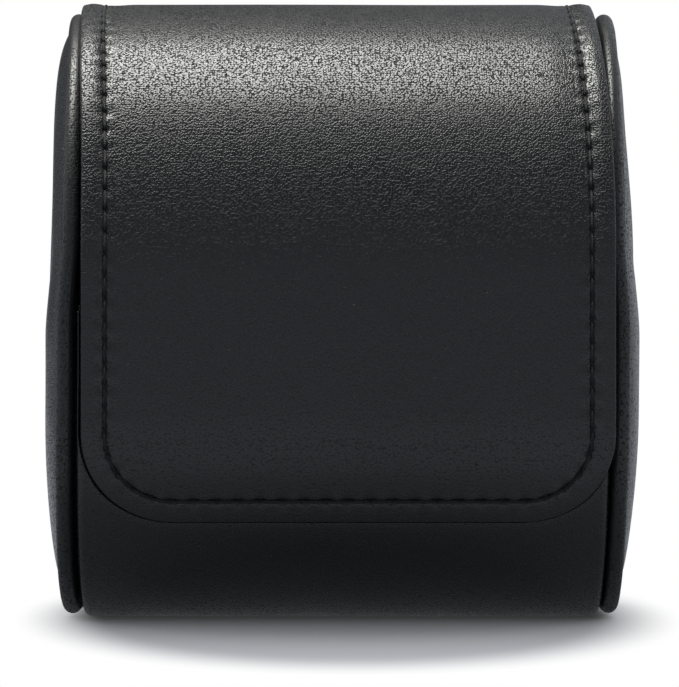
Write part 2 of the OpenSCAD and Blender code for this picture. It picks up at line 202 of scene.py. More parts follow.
def runs(*stops):
    """Values that pass through stops, given as value, count, value, count, ...,
    with count steps between two stops."""
    values = [np.linspace(a, b, n, endpoint=False)
              for a, n, b in zip(stops[:-2:2], stops[1::2], stops[2::2])]
    return np.concatenate(values + [[stops[-1]]])


# %% From a grid of points to a piece
def piece_from_grid(name, points, wrap_rows=False, wrap_columns=False, weld=False, marks=None):
    """Makes a smooth mesh from points[row, column, xyz]. A wrapped direction
    joins its last line to its first. marks are values per point that a
    material reads. Welding merges points that coincide and closes holes."""
    rows, columns = points.shape[:2]
    index = np.arange(rows * columns).reshape(rows, columns)
    if wrap_rows:
        index = np.vstack([index, index[:1]])
    if wrap_columns:
        index = np.hstack([index, index[:, :1]])
    faces = np.stack([index[:-1, :-1], index[:-1, 1:], index[1:, 1:], index[1:, :-1]], axis=-1)
    mesh = bpy.data.meshes.new(name)
    mesh.from_pydata(points.reshape(-1, 3), [], faces.reshape(-1, 4))
    for title, values in (marks or {}).items():
        layer = mesh.attributes.new(title, "FLOAT", "POINT")
        layer.data.foreach_set("value", values.astype(np.float32).ravel())
    piece = bpy.data.objects.new(name, mesh)
    bpy.context.scene.collection.objects.link(piece)
    if weld:
        close_up(mesh)
    mesh.polygons.foreach_set("use_smooth", np.ones(len(mesh.polygons), bool))
    return piece


def close_up(mesh, gap=0.002 * mm):
    """Merges points closer than gap, fills what is left open and turns all
    faces outward."""
    work = bmesh.new()
    work.from_mesh(mesh)
    bmesh.ops.remove_doubles(work, verts=work.verts, dist=gap)
    bmesh.ops.dissolve_degenerate(work, edges=work.edges, dist=gap / 4)
    open_edges = [e for e in work.edges if e.is_boundary]
    if open_edges:
        bmesh.ops.holes_fill(work, edges=open_edges)
    bmesh.ops.recalc_face_normals(work, faces=work.faces)
    work.to_mesh(mesh)
    work.free()


def place(piece, material, body, slot, *replaced):
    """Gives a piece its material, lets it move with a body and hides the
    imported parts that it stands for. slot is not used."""
    piece.data.materials.append(material)
    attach(piece, body)
    if replaced:
        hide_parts(*replaced)
    size = np.array(piece.dimensions) / mm
    print(f"{piece.name}: {len(piece.data.polygons)} faces, {np.round(size, 1).tolist()} mm")
    return piece


def mirrored(points):
    """The same grid on the left side: x changes sign and columns run backward,
    so that faces still point outward."""
    flipped = points[:, ::-1].copy()
    flipped[..., 0] *= -1
    return flipped


# %% [markdown]
# ## Black grained leather
# The leather is coated split leather: nearly black, with a fine pebble grain
# and a soft sheen. A photo texture would stretch at the edges, so the grain is
# built from cells in object space. It is a node group, because the skins, the
# end panels and the piping all share it with their own strengths.

# %% A node group for grain
def new_group(name, inputs, outputs):
    """A shader node group with named sockets. inputs and outputs are lists of
    (name, socket type, default)."""
    group = bpy.data.node_groups.new(name, "ShaderNodeTree")
    for way, sockets in (("INPUT", inputs), ("OUTPUT", outputs)):
        for title, kind, default in sockets:
            socket = group.interface.new_socket(title, in_out=way, socket_type=kind)
            if default is not None:
                socket.default_value = default
    enter = group.nodes.new("NodeGroupInput")
    leave = group.nodes.new("NodeGroupOutput")
    return group, enter, leave


def add(tree, kind, inputs=None, **settings):
    """Adds a node, sets its properties, and fills or links its inputs."""
    node = tree.nodes.new(kind)
    for key, value in settings.items():
        setattr(node, key, value)
    for key, value in (inputs or {}).items():
        if isinstance(value, bpy.types.NodeSocket):
            tree.links.new(value, node.inputs[key])
        else:
            node.inputs[key].default_value = value
    return node


def maths(tree, operation, a, b=0.5, c=None):
    """One math node and its result."""
    values = {0: a, 1: b} if c is None else {0: a, 1: b, 2: c}
    return add(tree, "ShaderNodeMath", values, operation=operation).outputs[0]


def ramp(tree, value, low=0.0, high=1.0, to_low=0.0, to_high=1.0, **settings):
    """Maps low..high to to_low..to_high and holds both ends."""
    return add(tree, "ShaderNodeMapRange", {"Value": value, "From Min": low, "From Max": high,
               "To Min": to_low, "To Max": to_high}, **settings).outputs["Result"]


def toned(tree, colour, factor):
    """A colour times a grey factor."""
    return add(tree, "ShaderNodeMix", {"Factor": 1.0, "A": (*colour, 1.0), "B": factor},
               data_type="RGBA", blend_type="MULTIPLY").outputs["Result"]


def raise_surface(tree, stuff, height, strength, distance):
    """Bump: the shader's normal follows a height."""
    relief = add(tree, "ShaderNodeBump",
                 {"Height": height, "Strength": strength, "Distance": distance})
    tree.links.new(relief.outputs["Normal"], stuff.inputs["Normal"])


FLOAT, VECTOR = "NodeSocketFloat", "NodeSocketVector"
grain, enter, leave = new_group(
    "pebble grain",
    [("Point", VECTOR, None), ("Cells", FLOAT, 2500.0), ("Reach", FLOAT, 0.7)],
    [("Height", FLOAT, None), ("Wear", FLOAT, None)])
drift = add(grain, "ShaderNodeTexNoise",
            {"Vector": enter.outputs["Point"], "Scale": 800.0, "Detail": 2.0})
shove = add(grain, "ShaderNodeVectorMath",
            {0: drift.outputs["Color"], 1: (0.5, 0.5, 0.5)}, operation="SUBTRACT")
shove = add(grain, "ShaderNodeVectorMath",
            {0: shove.outputs[0], "Scale": 0.00035}, operation="SCALE")
moved = add(grain, "ShaderNodeVectorMath",
            {0: enter.outputs["Point"], 1: shove.outputs[0]}, operation="ADD")
cells = add(grain, "ShaderNodeTexVoronoi",
            {"Vector": moved.outputs[0], "Scale": enter.outputs["Cells"],
             "Randomness": 0.8}, feature="F1")
reach = maths(grain, "DIVIDE", cells.outputs["Distance"], enter.outputs["Reach"])
pebble = maths(grain, "SUBTRACT", 1.0, maths(grain, "POWER", reach, 5.0))
patches = add(grain, "ShaderNodeTexNoise",
              {"Vector": enter.outputs["Point"], "Scale": 260.0, "Detail": 3.0})
uneven = maths(grain, "MULTIPLY_ADD", patches.outputs["Fac"], 0.6, 0.7)
height = maths(grain, "MULTIPLY", pebble, uneven)
grain.links.new(height, leave.inputs["Height"])
grain.links.new(patches.outputs["Fac"], leave.inputs["Wear"])
print("grain group:", len(grain.nodes), "nodes")


# %% Leather as a material
def shader(name, **constants):
    """A new material with its Principled shader, with constant sockets set."""
    material = bpy.data.materials.new(name)
    material.use_nodes = True
    node = material.node_tree.nodes["Principled BSDF"]
    for key, value in constants.items():
        node.inputs[key.replace("_", " ")].default_value = value
    return material, material.node_tree, node


def leather(name, colour, depth, rough, low_grain=1.0, cells=2700.0):
    """Coated leather: pebble grain as bump, with creases that are rougher than
    the tops of the pebbles and painted a little darker, as painted shade in
    the creases. The grain stands out where the hide is bent over the top, and
    low_grain is what is left of it on the flat parts below. Where the mesh
    carries a hole value, the needle hole is rougher and its colour is painted
    near black, as painted shade in the hole."""
    material, tree, skin = shader(name, Specular_IOR_Level=0.5, Coat_Roughness=0.3)
    where = add(tree, "ShaderNodeTexCoord")
    pores = add(tree, "ShaderNodeGroup", {"Point": where.outputs["Object"], "Cells": cells},
                node_tree=grain)
    split = add(tree, "ShaderNodeSeparateXYZ", {0: where.outputs["Object"]})
    bent = ramp(tree, split.outputs["Z"], 0.05, 0.07, low_grain, 1.0)
    cloud = add(tree, "ShaderNodeTexNoise",
                {"Vector": where.outputs["Object"], "Scale": 55.0, "Detail": 3.0})
    # painted shade: the base colour is 0.85 of itself in the creases of the grain and 1.03 on the
    # pebble tops
    shade = toned(tree, colour, ramp(tree, pores.outputs["Height"], 0, 1, 0.85, 1.03))
    # painted shade in the needle holes: where the hole attribute is set, the base colour goes to near
    # black and the roughness rises
    hole_shade_mask = add(tree, "ShaderNodeAttribute", attribute_name="hole").outputs["Fac"]
    hole_shade_colour = add(tree, "ShaderNodeMix", {"Factor": hole_shade_mask, "A": shade,
                 "B": (0.003, 0.003, 0.003, 1.0)}, data_type="RGBA")
    tree.links.new(hole_shade_colour.outputs["Result"], skin.inputs["Base Color"])
    gloss = ramp(tree, cloud.outputs["Fac"], 0.3, 0.7, rough - 0.04, rough + 0.05)
    crease = ramp(tree, pores.outputs["Height"], 0.1, 0.9, 0.55, 0.0)
    worn = maths(tree, "MULTIPLY_ADD", crease, bent, gloss)
    dull = maths(tree, "MULTIPLY_ADD", hole_shade_mask, 0.5, worn)
    tree.links.new(dull, skin.inputs["Roughness"])
    felt = maths(tree, "MULTIPLY", pores.outputs["Height"], bent)
    raise_surface(tree, skin, felt, 1.0, depth)
    return material


skin_leather = leather("grained leather", (0.0125, 0.013, 0.0145), 0.06 * mm, 0.225, 0.35)
panel_leather = leather("end panel leather", (0.0125, 0.013, 0.0145), 0.06 * mm, 0.225, 0.5)
piping_leather = leather("piping leather", (0.014, 0.0142, 0.0155), 0.025 * mm, 0.34)
print("leathers:", [m.name for m in (skin_leather, panel_leather, piping_leather)])

# %% [markdown]
# ## Thread
# The seams are sewn with bonded black thread, a touch glossier than the
# leather. Two plies twist round each other, which a wave across the stitch's
# own UV map shows.

# %% Thread as a material
def thread_material(name, colour):
    """Twisted thread: slanted stripes on the UV map as colour and bump."""
    material, tree, strand = shader(name, Roughness=0.6, Specular_IOR_Level=0.35,
                                    Sheen_Weight=0.05)
    place_on = add(tree, "ShaderNodeTexCoord")
    twist = add(tree, "ShaderNodeTexWave", {"Vector": place_on.outputs["UV"], "Scale": 4.0},
                bands_direction="DIAGONAL")
    shade = toned(tree, colour, ramp(tree, twist.outputs["Fac"], 0, 1, 0.5, 1.15))
    tree.links.new(shade, strand.inputs["Base Color"])
    raise_surface(tree, strand, twist.outputs["Fac"], 0.6, 0.06 * mm)
    return material


black_thread = thread_material("black thread", (0.009, 0.009, 0.010))

# %% [markdown]
# ## Suede lining, cushion cloth, metal, board and foam
# The inside is lined with charcoal microsuede. Its short nap scatters light
# at grazing angles, which the shader's sheen gives, and it shows faint strokes
# where a hand has brushed it. Boards, foam and cords hide inside the walls, so
# they have simple but finished materials of their own.

# %% Suede
def suede(name, colour):
    """Microsuede: fibre noise as fine bump, and brushed patches of tone."""
    material, tree, nap = shader(name, Specular_IOR_Level=0.2, Sheen_Weight=0.6,
                                 Sheen_Roughness=0.45)
    where = add(tree, "ShaderNodeTexCoord")
    strokes = add(tree, "ShaderNodeTexNoise", {"Vector": where.outputs["Object"],
                  "Scale": 70.0, "Detail": 5.0, "Distortion": 1.2})
    fibres = add(tree, "ShaderNodeTexNoise", {"Vector": where.outputs["Object"],
                 "Scale": 6500.0, "Detail": 2.0})
    shade = toned(tree, colour, ramp(tree, strokes.outputs["Fac"], 0.3, 0.7, 0.75, 1.25))
    tree.links.new(shade, nap.inputs["Base Color"])
    rough = ramp(tree, fibres.outputs["Fac"], 0, 1, 0.85, 1.0)
    tree.links.new(rough, nap.inputs["Roughness"])
    raise_surface(tree, nap, fibres.outputs["Fac"], 0.7, 0.12 * mm)
    return material


lining_suede = suede("lining suede", (0.055, 0.055, 0.06))
cushion_suede = suede("cushion suede", (0.062, 0.061, 0.066))


# %% Metal, board, foam and cord
def noisy(name, colour, scale, spread, rough, metallic=0.0, depth=0.05):
    """A plain stuff with noise in its tone, roughness and surface."""
    material, tree, stuff = shader(name, Metallic=metallic)
    where = add(tree, "ShaderNodeTexCoord")
    noise = add(tree, "ShaderNodeTexNoise", {"Vector": where.outputs["Object"],
                "Scale": scale, "Detail": 4.0})
    shade = toned(tree, colour, ramp(tree, noise.outputs["Fac"], 0, 1, 1 - spread, 1 + spread))
    tree.links.new(shade, stuff.inputs["Base Color"])
    gloss = ramp(tree, noise.outputs["Fac"], 0, 1, rough * 0.85, rough * 1.15)
    tree.links.new(gloss, stuff.inputs["Roughness"])
    raise_surface(tree, stuff, noise.outputs["Fac"], 0.5, depth * mm)
    return material


dark_nickel = noisy("dark nickel", (0.32, 0.31, 0.3), 900.0, 0.08, 0.26, 1.0, 0.004)
magnet_grey = noisy("magnet", (0.1, 0.1, 0.105), 1500.0, 0.2, 0.5, 0.6, 0.02)
grey_board = noisy("grey board", (0.34, 0.29, 0.22), 1200.0, 0.25, 0.9)
foam = noisy("foam", (0.5, 0.5, 0.47), 2600.0, 0.3, 0.95, 0.0, 0.2)
cord_cotton = noisy("cotton cord", (0.6, 0.59, 0.55), 3200.0, 0.2, 0.9)

inside_looks = {
    grey_board: ["body_board", "left_end_board", "right_end_board", "flap_board"],
    foam: ["body_padding", "left_end_padding", "right_end_padding", "flap_padding",
           "cushion_core"],
    magnet_grey: ["clasp_magnet"],
    dark_nickel: ["clasp_socket_washer", "clasp_stud_washer"],
}
for material, names in inside_looks.items():
    for name in names:
        nodes[name].data.materials.clear()
        nodes[name].data.materials.append(material)
print("inner parts finished:", sum(len(names) for names in inside_looks.values()))

# %% [markdown]
# ## The flap's skin
# One sheet of leather makes the flap, its hinge and the tail that is sewn down
# on the back. On the real case its edges are turned in over board and sewn,
# so the margin outside the stitches stands up as a rounded bead.
# A flat sheet with thickness would miss all of that. So a profile, from the
# turned-in margin round the edge and across the outer face, is carried along
# the sheet's free edge: up one side of the tail, down round the two lower
# corners and back.

# %% The flap's free edge, laid out flat
stitch_inset = 3.8 * mm
stitch_pitch = 3.4 * mm
flap_corner_r = 14.5 * mm
rows_per_stitch = 8


def flap_edge():
    """Points (x, s) of the free edge, the inward direction at each and the
    distance sewn so far. Half a U, straight, quarter circle, straight, is
    worked out by distance u along the stitch line and then mirrored."""
    r, w = flap_corner_r, flap_half_w
    seam_r = r - stitch_inset
    side = flap_end - r - tail_s
    quarter = seam_r * np.pi / 2
    half = side + quarter + w - r
    count = int(round(2 * half / stitch_pitch))
    u = np.linspace(0, half, count * rows_per_stitch // 2 + 1)
    turn = np.clip((u - side) / seam_r, 0, np.pi / 2)
    x = -w + r * (1 - np.cos(turn)) + np.clip(u - side - quarter, 0, None)
    s = tail_s + np.minimum(u, side) + r * np.sin(turn)
    left = np.column_stack([x, s, np.cos(turn), -np.sin(turn)])
    right = (left * [-1, 1, -1, 1])[::-1][1:]
    sewn = np.concatenate([u, 2 * half - u[::-1][1:]])
    return np.vstack([left, right]), sewn, count


edge, sewn, stitch_count = flap_edge()
edge_xs, inward = edge[:, :2], edge[:, 2:]
stitch_line = edge_xs + stitch_inset * inward
stitch_step = sewn[-1] / stitch_count
print("flap edge:", len(edge), "rows,", stitch_count, "stitches of", round(stitch_step / mm, 2), "mm")

# %% How high the skin stands
groove, puff = 0.18 * mm, 0.05 * mm


def margin(inset, s):
    """Height of the outer face over the board, by distance from the edge: a
    bead between edge and stitches, a groove under the thread, and a soft rise
    to the panel. Bead and rise are highest on the top and ease off below."""
    near_top = 1 - smooth(s, 35 * mm, 95 * mm)
    bead = (0.12 + 0.28 * near_top) * mm
    return (bead * bump(inset, 1.7 * mm, 1.5 * mm)
            - groove * bump(inset, stitch_inset, 0.5 * mm)
            + puff * smooth(inset, stitch_inset, 9 * mm) * (1 + 4 * near_top))


def pucker(inset, phase):
    """The leather is pulled down at every needle hole and swells between two
    holes: a cosine along the seam that fades away from the stitch line. Every
    stitch is pulled a little differently."""
    pull = 1 + 0.45 * np.sin(phase * 0.37) * np.sin(phase * 0.113 + 1)
    return -0.12 * mm * pull * np.cos(phase) * bump(inset, stitch_inset, 1.2 * mm)


def needle_hole(inset, phase):
    """1 in the middle of a needle hole and 0 outside it: the bell of the
    distance to the stitch line and of the distance to the nearest hole."""
    run = (np.mod(phase / (2 * np.pi) + 0.5, 1) - 0.5) * stitch_step
    return bump(inset, stitch_inset, 0.42 * mm) * bump(run, 0, 0.5 * mm)


def skin_height(x, s, inset, phase):
    """Height of the flap's outer face over its nominal offset."""
    rolled = 0.75 * mm * (1 - smooth(s - tail_s, -0.2 * mm, 0.9 * mm))
    tail_seam = groove * bump(s, tail_s + stitch_inset, 0.75 * mm)
    uneven = 0.08 * mm * waves(x, s, 45 * mm, 3) * smooth(inset, 2 * mm, 12 * mm)
    hole = 0.3 * mm * needle_hole(inset, phase)
    return margin(inset, s) + pucker(inset, phase) + uneven - rolled - tail_seam - hole


def flap_shift(s):
    """The sewn flap sits a little askew: 0.8 mm to the left on the top, and
    0.75 mm to the right on the front. It is straight at the hinge."""
    return (-0.8 + 1.55 * smooth(s, 5 * mm, 60 * mm)
            + 0.8 * smooth(-s, 5 * mm, 30 * mm)) * mm


# %% Carry the profile along the edge
def flap_skin_points():
    """Columns run from a hidden inner layer, along the turned-in margin, round
    the edge, over the outer face and on to the middle line x = 0. Rows follow
    the free edge. Returns the points and how much of a needle hole each is."""
    x, s = edge_xs[:, :1], edge_xs[:, 1:]
    nx, ns = inward[:, :1], inward[:, 1:]
    depth = flap_in + (skin_out - flap_in) * (1 - smooth(s, hinge_s, hinge_s + 1.2 * mm))
    hidden = np.maximum(2.2 * mm, depth + 0.15 * mm)
    phase = 2 * np.pi * sewn[:, None] / stitch_step
    middle_s = np.minimum(s, flap_end - flap_half_w)
    round_off = 0.35 * mm

    def at(inset, share):
        """The laid-out point at an inset, moved by a share to the middle."""
        return ((x + inset * nx) * (1 - share),
                (s + inset * ns) * (1 - share) + middle_s * share)

    hem = runs(7.0 * mm, 5, round_off)
    roll = np.radians(np.linspace(-80, 78, 15))
    face = runs(round_off, 7, 2.9 * mm, 14, 4.7 * mm, 8, 8.8 * mm)
    to_middle = runs(0.08, 12, 1.0)
    inset = np.concatenate([np.full(4, 7.2 * mm), hem, round_off * (1 - np.cos(roll)), face,
                            np.full(13, 8.8 * mm)])[None]
    share = np.concatenate([runs(1.0, 3, 0.0), np.zeros(len(hem) + len(roll) + len(face)),
                            to_middle])[None]
    px, ps = at(inset, share)
    deep = np.where(share > 0, 8.8 * mm + share * 20 * mm, np.maximum(inset, round_off))
    top = flap_out + skin_height(px, ps, deep, phase)
    first, last = 4, 4 + len(hem)
    level = top.copy()
    level[:, :first] = hidden
    level[:, first:last] = depth
    up = (1 + np.sin(roll)[None]) / 2
    level[:, last:last + len(roll)] = depth + (top[:, last:last + len(roll)] - depth) * up
    y, z, _ = along(flap_path, ps, level - flap_out)
    # these hole values darken the leather in its material, as painted shade in the needle holes
    hole = needle_hole(deep, phase) * (level >= top - 0.01 * mm)
    return np.stack([px + flap_shift(ps), y, z], axis=-1), hole


def bend(piece, material, slot, *replaced):
    """Like place, for a piece that bends over the hinge, but it lets the piece
    move with no body: it bakes the piece's place into its points."""
    piece.data.materials.append(material)
    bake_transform(piece)
    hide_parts(*replaced)
    print(f"{piece.name}: {len(piece.data.polygons)} faces, bends over the hinge")


flap_points, flap_hole_shade = flap_skin_points()
# the hole mark carries the painted shade of the needle holes to the leather
flap_skin = piece_from_grid("flap_skin", flap_points, weld=True, marks={"hole": flap_hole_shade})
bend(flap_skin, skin_leather, "black_leather", "flap_leather", "hinge_tail")

# %% [markdown]
# ## The stitches
# Each stitch is a short thread that comes out of one needle hole, lies along
# the groove and dives into the next. All of them are one mesh, because the
# same small tube is set at many places at once with array arithmetic.

# %% Tubes for stitches
stitch_l = 3.15 * mm
thread_r = 0.27 * mm


def stitches(name, centre, ahead, up, length=stitch_l, radius=thread_r, sink=0.3 * mm):
    """One tube per stitch. Along its length t from -1 to 1 a tube follows an
    arc that starts sink lower at both ends, and thins to a round point:
    centre + t L/2 ahead - sink t^4 up, with radius r sqrt(1 - |t|^5)."""
    rings, sides = 9, 8
    t = np.sin(np.linspace(-np.pi / 2, np.pi / 2, rings))
    turn = np.linspace(0, 2 * np.pi, sides, endpoint=False)
    side = np.cross(ahead, up)
    spine = (centre[:, None] + ahead[:, None] * (t * length / 2)[None, :, None]
             - up[:, None] * (sink * t ** 4)[None, :, None])
    r = radius * np.sqrt(np.maximum(1 - np.abs(t) ** 5, 0.02))
    ring = (side[:, None, None] * np.cos(turn)[None, None, :, None]
            + up[:, None, None] * np.sin(turn)[None, None, :, None])
    points = spine[:, :, None] + r[None, :, None, None] * ring
    count = len(centre)
    index = np.arange(count * rings * sides).reshape(count, rings, sides)
    index = np.concatenate([index, index[:, :, :1]], axis=2)
    faces = np.stack([index[:, :-1, :-1], index[:, 1:, :-1], index[:, 1:, 1:],
                      index[:, :-1, 1:]], axis=-1).reshape(-1, 4)
    mesh = bpy.data.meshes.new(name)
    mesh.from_pydata(points.reshape(-1, 3), [], faces)
    along_uv = np.broadcast_to(((t + 1) / 2)[None, :, None] * 4, (count, rings, sides + 1))
    round_uv = np.broadcast_to(np.linspace(0, 1, sides + 1), (count, rings, sides + 1))
    uv = np.stack([along_uv, round_uv], axis=-1)
    corners = np.stack([uv[:, :-1, :-1], uv[:, 1:, :-1], uv[:, 1:, 1:], uv[:, :-1, 1:]], axis=3)
    layer = mesh.uv_layers.new(name="along_thread")
    layer.data.foreach_set("uv", corners.astype(np.float32).ravel())
    work = bmesh.new()
    work.from_mesh(mesh)
    bmesh.ops.holes_fill(work, edges=[e for e in work.edges if e.is_boundary])
    bmesh.ops.recalc_face_normals(work, faces=work.faces)
    work.to_mesh(mesh)
    work.free()
    mesh.polygons.foreach_set("use_smooth", np.ones(len(mesh.polygons), bool))
    piece = bpy.data.objects.new(name, mesh)
    bpy.context.scene.collection.objects.link(piece)
    return piece


def on_flap(x, s, lift):
    """Points on the flap's outer face, and the outward direction there."""
    y, z, turn = along(flap_path, s, lift)
    point = np.stack([x + flap_shift(s), y, z], axis=-1)
    up = np.stack([np.zeros_like(turn), -np.sin(turn), np.cos(turn)], axis=-1)
    return point, up


def seam_frames(line, at, count, step, lift):
    """Centres, directions and normals of count stitches along a line (x, s)
    whose distances are at."""
    middle = (np.arange(count) + 0.5) * step
    half = 0.2 * mm
    x, s = (np.interp(middle, at, line[:, k]) for k in (0, 1))
    x0, s0 = (np.interp(middle - half, at, line[:, k]) for k in (0, 1))
    x1, s1 = (np.interp(middle + half, at, line[:, k]) for k in (0, 1))
    centre, up = on_flap(x, s, lift)
    ahead = on_flap(x1, s1, lift)[0] - on_flap(x0, s0, lift)[0]
    ahead /= np.linalg.norm(ahead, axis=1)[:, None]
    return centre, ahead, up, s


# %% Sew the flap and its tail
thread_lift = -groove + 0.04 * mm + 0.5 * thread_r
centre, ahead, up, seam_s = seam_frames(stitch_line, sewn, stitch_count, stitch_step,
                                        thread_lift)
on_the_flap = seam_s > hinge_s
flap_thread = stitches("flap_thread", centre[on_the_flap], ahead[on_the_flap], up[on_the_flap])
bend(flap_thread, black_thread, "black_thread", "flap_stitching")

tail_count = int(round(2 * (flap_half_w - stitch_inset) / stitch_pitch))
tail_x = np.linspace(-1, 1, 2 * tail_count + 1)[1::2] * (flap_half_w - stitch_inset)
tail_row, tail_up = on_flap(tail_x, np.full_like(tail_x, tail_s + stitch_inset), thread_lift)
tail_ahead = np.tile([1.0, 0, 0], (tail_count, 1))
below = ~on_the_flap & (seam_s > tail_s + stitch_inset)
tail_thread = stitches("tail_thread", np.vstack([tail_row, centre[below]]),
                       np.vstack([tail_ahead, ahead[below]]), np.vstack([tail_up, up[below]]))
place(tail_thread, black_thread, "case", "black_thread", "hinge_stitching")

# %% [markdown]
# ## The shell's skin
# The wrap covers the back, the bottom and the front wall. Under the flap it
# lies lower, so that the closed flap ends nearly flush with it, and its two
# side edges roll in to the piping. It is one grid: rows go from the lining
# over the front lip, down the front, under the bottom and up the back to the
# hinge; columns run across.

# %% The shell's skin
shell_path = outline(0.0)
shell_lip_s = front_distance(shell_path, lip_z)
shell_hinge_s = shell_path[1] - top_r * hinge_turn
flap_end_z = corner_z - (corner_z - flap_low_z) * corner_r / (corner_r + flap_out)
shell_flap_s = front_distance(shell_path, flap_end_z)
turned = 6 * mm
lip_inset = 3 * mm


def wrap_rows():
    """(s, offset, part) of each row in the middle of the wrap. part is 1 on the
    outer face and 0 on the lip, the hinge edge and the inside."""
    lip_r = 1.1 * mm
    inner, outer = lining_in - 0.05 * mm, front_skin_out
    a = np.radians(np.linspace(0, 90, 7))
    inside = np.column_stack([runs(shell_lip_s + turned, 6, shell_lip_s + lip_r * 1.05),
                              np.full(7, inner), np.zeros(7)])
    first = np.column_stack([shell_lip_s + lip_r * (1 - np.sin(a)),
                             inner + lip_r * (1 - np.cos(a)), np.zeros(7)])
    second = np.column_stack([shell_lip_s + lip_r * (1 - np.cos(a)),
                              outer - lip_r * (1 - np.sin(a)), np.zeros(7)])
    s = runs(shell_lip_s + lip_r * 1.05, 40, shell_flap_s - 15 * mm, 100, shell_flap_s + 1 * mm,
             110, shell_hinge_s - 1.2 * mm)
    face = np.column_stack([s, np.full(len(s), outer), np.ones(len(s))])
    third = np.column_stack([shell_hinge_s - lip_r * (1 - np.sin(a)),
                             skin_out - lip_r * (1 - np.cos(a)), np.zeros(7)])
    back = np.column_stack([np.full(5, shell_hinge_s), runs(skin_out - 1.4 * mm, 4, inner),
                            np.zeros(5)])
    tuck = np.column_stack([runs(shell_hinge_s - 0.2 * mm, 3, shell_hinge_s - 4 * mm),
                            np.full(4, inner), np.zeros(4)])
    return np.vstack([inside, first, second, face, third, back, tuck])


def sway(y, z):
    """The soft case has sagged: its lower front stands 0.4 mm to the left."""
    return -0.4 * mm * (1 - smooth(z, 4 * mm, 45 * mm)) * (1 - smooth(y, -34 * mm, 10 * mm))


def outside_flap(x, s):
    """Distance outside the flap's front outline in the laid-out sheet, below
    zero under the flap: that of a rectangle with rounded lower corners."""
    r = flap_corner_r
    dx = np.maximum(np.abs(x - flap_shift(s)) - (flap_half_w - r), 0)
    ds = np.maximum(s - (shell_flap_s - r), 0)
    return np.hypot(dx, ds) - r


def shell_skin_points():
    """Offset = base + step outside the flap's outline - roll at both sides.
    The roll is a quarter circle over the last stretch before each side. The
    skin is sunk round the snap and drawn in along the lip's seam."""
    s, base, outer = (wrap_rows()[:, k][:, None] for k in range(3))
    edge_x = wrap_x + 0.1 * mm
    roll_r = 1.3 * mm
    x = np.concatenate([[-edge_x], runs(-edge_x, 12, -38.6 * mm, 210, 38.6 * mm, 12, edge_x),
                        [edge_x]])[None]
    far = outside_flap(x, s)
    front = s < shell_path[1] - shell_path[0][1, 0]
    open_face = outer * np.where(front, smooth(far, -0.1 * mm, 0.3 * mm), 1)
    rise = (skin_out - front_skin_out) * open_face
    bulge = 0.25 * mm * outer * front * smooth(far, 0, 1.5 * mm) * bump(far, 0, 12 * mm)
    uneven = 0.08 * mm * waves(x, s, 38 * mm, 7) * open_face * smooth(far, 1 * mm, 9 * mm)
    over = np.clip(np.abs(x) - (edge_x - roll_r), 0, roll_r)
    roll = (roll_r - np.sqrt(roll_r ** 2 - over ** 2)) * np.where(s > shell_hinge_s - 3 * mm, 1,
                                                                   open_face)
    y_here, z_here, _ = along(shell_path, s)
    from_snap = np.hypot(x, np.where(y_here < 0, z_here - snap_z, 1.0))
    sunk = 0.7 * mm * outer * front * (1 - smooth(from_snap, 6.1 * mm, 6.8 * mm))
    lip_seam = 0.2 * mm * bump(s, shell_lip_s + lip_inset, 0.5 * mm)
    offset = base + rise + bulge + uneven - roll - sunk - lip_seam
    offset[:, [0, -1]] = np.minimum(offset[:, [0, -1]] - 0.3 * mm, -1.8 * mm)
    y, z, _ = along(shell_path, s, offset)
    return np.stack([x + sway(y, z) * (1 - smooth(x, -38 * mm, 38 * mm)), y, z], axis=-1)


shell_skin = piece_from_grid("shell_skin", shell_skin_points())
place(shell_skin, skin_leather, "case", "black_leather", "body_leather")

lip_x = (np.arange(22) - 10.5) * stitch_pitch
lip_x = lip_x[np.abs(lip_x) > 9 * mm]
y, z, lip_turn = along(shell_path, shell_lip_s + lip_inset + 0 * lip_x,
                       front_skin_out - 0.06 * mm)
lip_up = np.stack([0 * lip_x, -np.sin(lip_turn), np.cos(lip_turn)], axis=-1)
lip_thread = stitches("lip_thread", np.stack([lip_x, y, z], axis=-1),
                      np.tile([1.0, 0, 0], (len(lip_x), 1)), lip_up)
place(lip_thread, black_thread, "case", "black_thread")

# %% [markdown]
# ## End panels
# Each end is a board with a foam dome under leather. The leather is pulled
# tight into the piping seam, so it rises steeply at the rim and then eases
# over to a low crown. Nothing stiff holds the end's upper front edge once the
# front wall has ended, so there the seam leans in by almost a millimetre. Both
# the panel and its piping follow that lean, so it comes first.

# %% The lean of the upper front edge
lean_most = 0.9 * mm


def lean(s):
    """Inward shift by distance s from the top of the seam line: it starts at
    the top, is full on the upper front and ends at the front wall's lip."""
    return lean_most * smooth(s, -25 * mm, 46 * mm) * (1 - smooth(s, 59 * mm, 74 * mm))


def signed(s, length):
    """Distances as -length/2 to length/2 instead of 0 to length."""
    return np.where(s > length / 2, s - length, s)


# %% End panels
end_x = box_of("right_end_board")[1][0]
dome_top = box_of("right_end_leather")[1][0]
rim_out = box_of("right_end_board")[1][1] - top_r
seam_out = 0.8 * mm
panel_middle_z = 46 * mm


def dome_rise(d):
    """Rise over the board at inset d: 0.4 mm at once, 1.8 mm that eases in
    over 3 mm, and a parabola of 1.9 mm up to the middle."""
    d = d / mm
    return (0.4 + 1.8 * (1 - np.exp(-d / 3.0)) + 1.9 * (1 - (1 - np.minimum(d, 40) / 40) ** 2)) * mm


